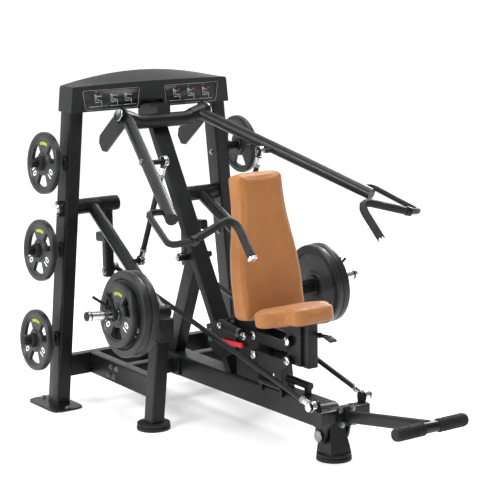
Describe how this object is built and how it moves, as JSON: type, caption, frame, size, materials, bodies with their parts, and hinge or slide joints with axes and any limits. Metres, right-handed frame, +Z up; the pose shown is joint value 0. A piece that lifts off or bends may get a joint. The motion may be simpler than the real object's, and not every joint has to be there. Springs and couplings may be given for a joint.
{
  "type": "plate-loaded chest press machine",
  "caption": "Plate-loaded seated chest press with independent press arms, side weight storage pegs, a foot assist bar and an adjustable seat",
  "frame": {"origin": "centre of the bounding box's footprint, at floor level", "axes": "+X to the viewer's right when facing the user, +Y to the machine's rear, +Z up"},
  "size_m": [1.745, 2.6576, 1.839],
  "materials": {
    "frame_paint": "satin powder coat",
    "plastic": "fine texture",
    "rubber": "matt",
    "weight_plate": "moulded rubber over iron",
    "chrome": "polished",
    "upholstery": "satin synthetic leather",
    "red_paint": "gloss"
  },
  "bodies": {
    "frame": {"header_shroud": "plastic", "rear_crossbeam": "frame_paint", "centre_beam": "frame_paint", "front_foot": "rubber", "mast": "frame_paint", "rear_brace": "frame_paint", "pivot_tube": "frame_paint", "seat_tower": "frame_paint", "guard_bar": "red_paint", "gas_spring": "frame_paint", "back_pad": "upholstery", "left_upright": "frame_paint", "left_weight_shaft": "chrome", "left_side_frame": "frame_paint", "left_tie_beam": "frame_paint", "left_post_foot": "rubber", "left_stop_bumper": "rubber", "right_upright": "frame_paint", "right_weight_shaft": "chrome", "right_side_frame": "frame_paint", "right_tie_beam": "frame_paint", "right_post_foot": "rubber", "right_stop_bumper": "rubber"},
    "foot_lever": {"foot_lever": "frame_paint", "left_foot_grip": "rubber", "right_foot_grip": "rubber"},
    "upper_link": {"upper_link": "frame_paint"},
    "lower_link": {"lower_link": "frame_paint"},
    "seat_carriage": {"seat_carriage": "frame_paint", "seat_pad": "upholstery"},
    "seat_release_lever": {"seat_release_lever": "plastic"},
    "left_press_arm": {"left_press_arm": "frame_paint", "left_hand_grip": "rubber"},
    "left_push_rod": {"left_push_rod": "frame_paint"},
    "left_weight_arm": {"left_weight_arm": "frame_paint", "left_horn_sleeve": "chrome", "left_horn_plate_inner": "weight_plate", "left_horn_plate_middle": "weight_plate", "left_horn_plate_outer": "weight_plate"},
    "left_spring_clip": {"left_spring_clip": "plastic"},
    "left_rocker": {"left_rocker": "frame_paint"},
    "left_assist_rod": {"left_assist_rod": "frame_paint"},
    "left_storage_plate_top": {"left_storage_plate_top": "weight_plate"},
    "left_storage_plate_middle": {"left_storage_plate_middle": "weight_plate"},
    "left_storage_plate_low": {"left_storage_plate_low": "weight_plate"},
    "right_press_arm": {"right_press_arm": "frame_paint", "right_hand_grip": "rubber"},
    "right_push_rod": {"right_push_rod": "frame_paint"},
    "right_weight_arm": {"right_weight_arm": "frame_paint", "right_horn_sleeve": "chrome", "right_horn_plate_inner": "weight_plate", "right_horn_plate_middle": "weight_plate", "right_horn_plate_outer": "weight_plate"},
    "right_spring_clip": {"right_spring_clip": "plastic"},
    "right_rocker": {"right_rocker": "frame_paint"},
    "right_assist_rod": {"right_assist_rod": "frame_paint"},
    "right_storage_plate_top": {"right_storage_plate_top": "weight_plate"},
    "right_storage_plate_middle": {"right_storage_plate_middle": "weight_plate"},
    "right_storage_plate_low": {"right_storage_plate_low": "weight_plate"}
  },
  "joints": [
    {"name": "left_weight_arm_hinge", "type": "hinge", "parent": "frame", "child": "left_weight_arm", "pos_m": [-0.362, 1.15875, 1.105], "axis": [-1, 0, 0], "range_deg": [0, 24]},
    {"name": "left_press_arm_hinge", "type": "hinge", "parent": "frame", "child": "left_press_arm", "pos_m": [-0.152, 0.97425, 1.571], "axis": [-0.9361, -0.124, 0.329], "range_deg": [0, 24.8]},
    {"name": "left_push_rod_hinge", "type": "hinge", "parent": "left_press_arm", "child": "left_push_rod", "pos_m": [-0.308, 0.47125, 1.419], "axis": [0.8947, 0.4059, -0.1866], "range_deg": [0, 23.8]},
    {"name": "left_clip_slide", "type": "slide", "parent": "left_weight_arm", "child": "left_spring_clip", "axis": [-0.9963, 0, 0.0865], "range_m": [0, 0.08]},
    {"name": "left_storage_slide_top", "type": "slide", "parent": "frame", "child": "left_storage_plate_top", "axis": [-0.9963, 0, 0.0865], "range_m": [0, 0.06]},
    {"name": "left_storage_slide_middle", "type": "slide", "parent": "frame", "child": "left_storage_plate_middle", "axis": [-0.9963, 0, 0.0865], "range_m": [0, 0.06]},
    {"name": "left_storage_slide_low", "type": "slide", "parent": "frame", "child": "left_storage_plate_low", "axis": [-0.9963, 0, 0.0865], "range_m": [0, 0.06]},
    {"name": "left_rocker_hinge", "type": "hinge", "parent": "frame", "child": "left_rocker", "pos_m": [-0.264, 1.15875, 1.105], "axis": [1, 0, 0], "range_deg": [-8.78, 0.3]},
    {"name": "left_assist_rod_hinge", "type": "hinge", "parent": "foot_lever", "child": "left_assist_rod", "pos_m": [-0.166, -0.61375, 0.308], "axis": [1, 0, 0], "range_deg": [-15.49, 0.3]},
    {"name": "right_weight_arm_hinge", "type": "hinge", "parent": "frame", "child": "right_weight_arm", "pos_m": [0.362, 1.15875, 1.105], "axis": [-1, 0, 0], "range_deg": [0, 24]},
    {"name": "right_press_arm_hinge", "type": "hinge", "parent": "frame", "child": "right_press_arm", "pos_m": [0.152, 0.97425, 1.571], "axis": [-0.9361, 0.124, -0.329], "range_deg": [0, 24.8]},
    {"name": "right_push_rod_hinge", "type": "hinge", "parent": "right_press_arm", "child": "right_push_rod", "pos_m": [0.308, 0.47125, 1.419], "axis": [0.8947, -0.4059, 0.1866], "range_deg": [0, 23.8]},
    {"name": "right_clip_slide", "type": "slide", "parent": "right_weight_arm", "child": "right_spring_clip", "axis": [0.9963, 0, 0.0865], "range_m": [0, 0.08]},
    {"name": "right_storage_slide_top", "type": "slide", "parent": "frame", "child": "right_storage_plate_top", "axis": [0.9963, 0, 0.0865], "range_m": [0, 0.06]},
    {"name": "right_storage_slide_middle", "type": "slide", "parent": "frame", "child": "right_storage_plate_middle", "axis": [0.9963, 0, 0.0865], "range_m": [0, 0.06]},
    {"name": "right_storage_slide_low", "type": "slide", "parent": "frame", "child": "right_storage_plate_low", "axis": [0.9963, 0, 0.0865], "range_m": [0, 0.06]},
    {"name": "right_rocker_hinge", "type": "hinge", "parent": "frame", "child": "right_rocker", "pos_m": [0.264, 1.15875, 1.105], "axis": [1, 0, 0], "range_deg": [-8.78, 0.3]},
    {"name": "right_assist_rod_hinge", "type": "hinge", "parent": "foot_lever", "child": "right_assist_rod", "pos_m": [0.166, -0.61375, 0.308], "axis": [1, 0, 0], "range_deg": [-15.49, 0.3]},
    {"name": "foot_lever_hinge", "type": "hinge", "parent": "frame", "child": "foot_lever", "pos_m": [0, -0.55475, 0.128], "axis": [1, 0, 0], "range_deg": [0, 16]},
    {"name": "seat_lift_hinge", "type": "hinge", "parent": "frame", "child": "upper_link", "pos_m": [0, 0.02425, 0.53], "axis": [-1, 0, 0], "range_deg": [-12, 14]},
    {"name": "lower_link_hinge", "type": "hinge", "parent": "frame", "child": "lower_link", "pos_m": [0, 0.02425, 0.428], "axis": [-1, 0, 0], "range_deg": [-12.3, 14.3]},
    {"name": "seat_carriage_hinge", "type": "hinge", "parent": "upper_link", "child": "seat_carriage", "pos_m": [0, -0.27375, 0.556], "axis": [-1, 0, 0], "range_deg": [-14.3, 12.3]},
    {"name": "seat_release_hinge", "type": "hinge", "parent": "seat_carriage", "child": "seat_release_lever", "pos_m": [0.042, -0.40375, 0.596], "axis": [-1, 0, 0], "range_deg": [0, 9], "stiffness_Nm_per_rad": 2.5}
  ],
  "couplings": [
    {"joint": "left_press_arm_hinge", "follows": "left_weight_arm_hinge", "ratio": 1.0293},
    {"joint": "left_push_rod_hinge", "follows": "left_weight_arm_hinge", "ratio": 0.98906},
    {"joint": "right_press_arm_hinge", "follows": "right_weight_arm_hinge", "ratio": 1.0293},
    {"joint": "right_push_rod_hinge", "follows": "right_weight_arm_hinge", "ratio": 0.98906},
    {"joint": "left_rocker_hinge", "follows": "foot_lever_hinge", "ratio": -0.5299},
    {"joint": "left_assist_rod_hinge", "follows": "foot_lever_hinge", "ratio": -0.9493},
    {"joint": "right_rocker_hinge", "follows": "foot_lever_hinge", "ratio": -0.5299},
    {"joint": "right_assist_rod_hinge", "follows": "foot_lever_hinge", "ratio": -0.9493},
    {"joint": "lower_link_hinge", "follows": "seat_lift_hinge", "ratio": 1},
    {"joint": "seat_carriage_hinge", "follows": "seat_lift_hinge", "ratio": -1}
  ]
}
